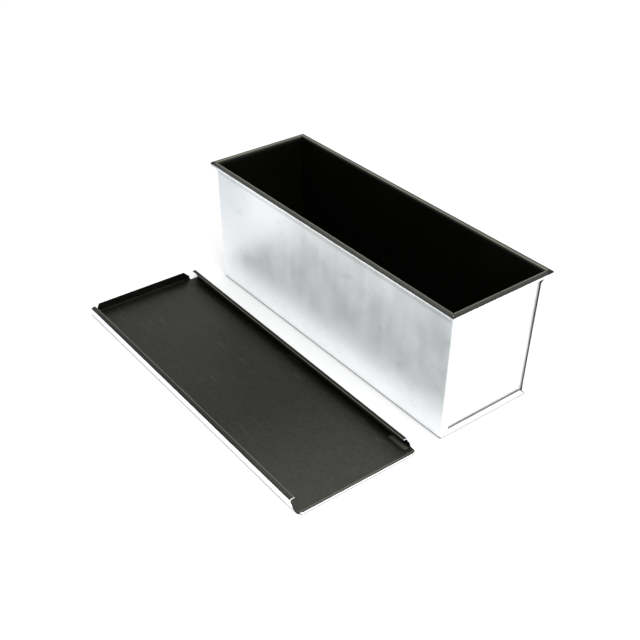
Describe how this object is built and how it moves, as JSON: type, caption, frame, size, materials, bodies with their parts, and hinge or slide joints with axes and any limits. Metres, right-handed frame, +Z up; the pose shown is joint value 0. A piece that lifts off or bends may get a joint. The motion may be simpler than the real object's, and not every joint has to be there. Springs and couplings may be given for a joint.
{
  "type": "sliding-lid loaf pan",
  "caption": "Long rectangular sheet-metal loaf pan with folded end seams and a wired rolled rim, and a flat railed lid lying upside down beside it.",
  "frame": {"origin": "centre of the pan's underside, on the surface that the pan and the lid stand on", "axes": "+X along the pan towards its near end, +Y across the pan away from the lid, +Z up"},
  "size_m": [0.3004, 0.2178, 0.11],
  "materials": {
    "aluminised_steel": "satin, faintly spangled aluminised steel; inside faces sprayed matte black",
    "wire": "drawn steel wire",
    "nonstick_coating": "matte charcoal non-stick coating on the inside face, bare steel outside"
  },
  "bodies": {
    "pan": {"body_wrap": "aluminised_steel", "end_panel_near": "aluminised_steel", "end_panel_far": "aluminised_steel", "rim_wire": "wire"},
    "lid": {"lid": "nonstick_coating"}
  },
  "joints": [
    {"name": "lid_turn", "type": "hinge", "parent": "pan", "child": "lid", "pos_m": [-0.0073, -0.0584, 0.05865], "axis": [-1, 0.0035, 0], "range_deg": [0, 180]}
  ]
}
